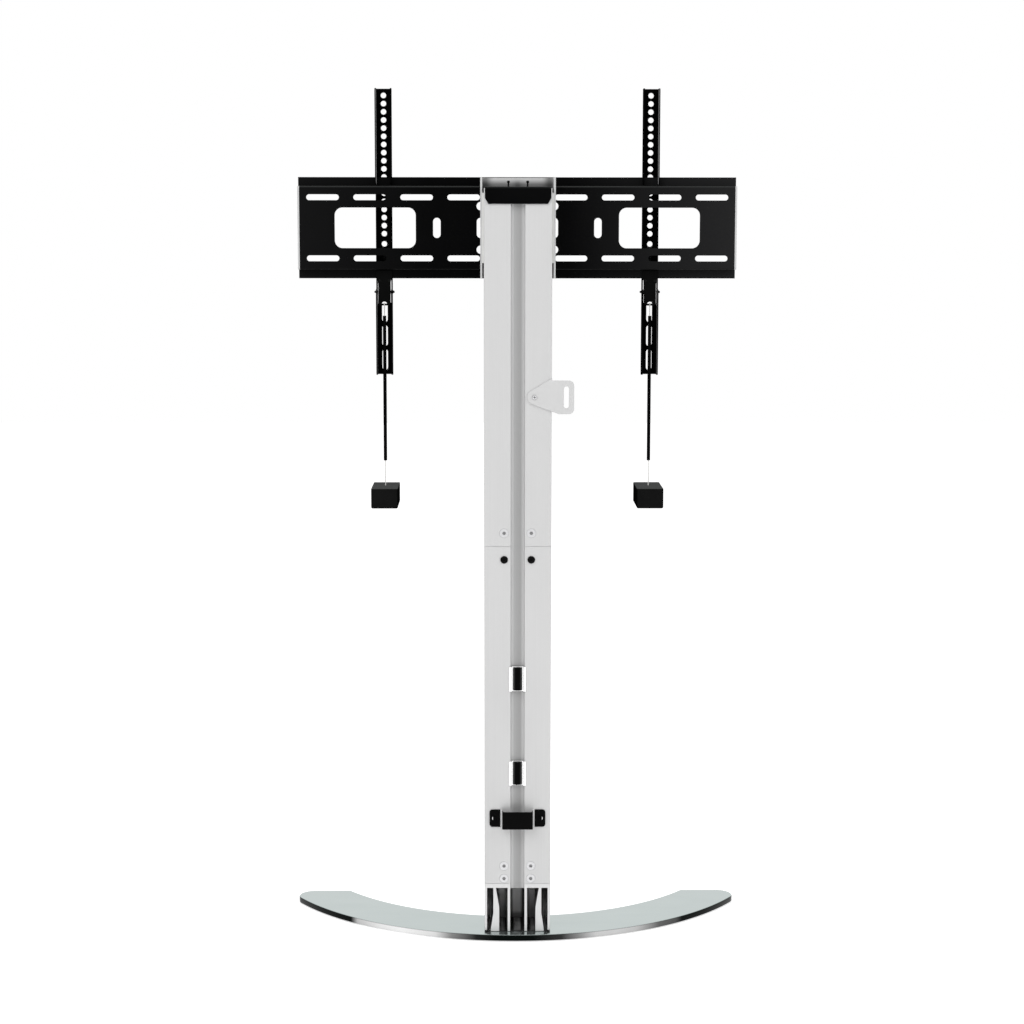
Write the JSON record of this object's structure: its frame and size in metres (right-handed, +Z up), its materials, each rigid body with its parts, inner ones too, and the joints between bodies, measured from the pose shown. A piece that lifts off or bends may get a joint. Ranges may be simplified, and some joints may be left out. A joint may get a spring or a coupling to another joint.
{
  "type": "floor tv stand",
  "caption": "Floor stand for a television: crescent glass base, grooved aluminium column, slotted wall plate and hook-on arms with spring latches and pull cords.",
  "frame": {"origin": "on the floor, in the middle of the base's footprint", "axes": "+X to the right seen from behind, +Y towards the screen, +Z up"},
  "size_m": [0.7218, 0.2338, 1.329],
  "materials": {
    "clear_glass": "polished",
    "clear_rubber": "satin",
    "dark_rubber": "matte",
    "pale_nylon": "matte",
    "silver_aluminium": "satin",
    "bright_steel": "brushed",
    "bright_screws": "satin",
    "black_screws": "satin",
    "clip_chrome": "polished",
    "black_plastic": "matte",
    "black_gloss_plastic": "gloss",
    "grey_plastic": "matte",
    "silver_paint": "satin",
    "black_powder_coat": "semi-gloss",
    "spring_steel": "satin",
    "pale_string": "matte"
  },
  "bodies": {
    "stand": {"glass_base": "clear_glass", "base_pads": "clear_rubber", "base_bushes": "pale_nylon", "base_screws": "bright_screws", "foot_gasket": "dark_rubber", "foot_section": "silver_aluminium", "lower_column": "silver_aluminium", "upper_column": "silver_aluminium", "column_splice": "bright_steel", "foot_screws": "bright_screws", "splice_screws": "bright_screws", "splice_buttons": "black_screws", "clip_frames": "clip_chrome", "clip_covers": "black_plastic", "cable_bridge": "black_gloss_plastic", "bridge_screws": "black_screws", "ear_bracket": "silver_paint", "ear_screw": "bright_screws", "head_adapter": "silver_paint", "adapter_fillers": "pale_nylon", "hook_cap": "black_powder_coat", "cap_screws": "black_screws", "wall_plate": "black_powder_coat", "end_cap_left": "grey_plastic", "end_cap_right": "grey_plastic", "head_bolts": "bright_screws", "head_washers": "bright_screws", "nut_bars": "bright_steel"},
    "arm_left": {"arm_left": "black_powder_coat", "latch_pin_left": "black_screws", "pin_ring_left": "bright_screws"},
    "latch_left": {"latch_left": "black_gloss_plastic", "latch_rivets_left": "black_screws", "latch_spring_left": "spring_steel", "pull_string_left": "pale_string", "pull_sleeve_left": "black_plastic", "pull_grip_left": "black_plastic", "string_knot_left": "pale_string"},
    "arm_right": {"arm_right": "black_powder_coat", "latch_pin_right": "black_screws", "pin_ring_right": "bright_screws"},
    "latch_right": {"latch_right": "black_gloss_plastic", "latch_rivets_right": "black_screws", "latch_spring_right": "spring_steel", "pull_string_right": "pale_string", "pull_sleeve_right": "black_plastic", "pull_grip_right": "black_plastic", "string_knot_right": "pale_string"}
  },
  "joints": [
    {"name": "arm_left_slide", "type": "slide", "parent": "stand", "child": "arm_left", "axis": [1, 0, 0], "range_m": [-0.108, 0.108]},
    {"name": "latch_left_release", "type": "slide", "parent": "arm_left", "child": "latch_left", "axis": [0, 0, -1], "range_m": [0, 0.013], "stiffness_N_per_m": 250, "springref_m": -0.03, "deforming": ["latch_spring_left"]},
    {"name": "arm_right_slide", "type": "slide", "parent": "stand", "child": "arm_right", "axis": [1, 0, 0], "range_m": [-0.108, 0.108]},
    {"name": "latch_right_release", "type": "slide", "parent": "arm_right", "child": "latch_right", "axis": [0, 0, -1], "range_m": [0, 0.013], "stiffness_N_per_m": 250, "springref_m": -0.03, "deforming": ["latch_spring_right"]}
  ]
}
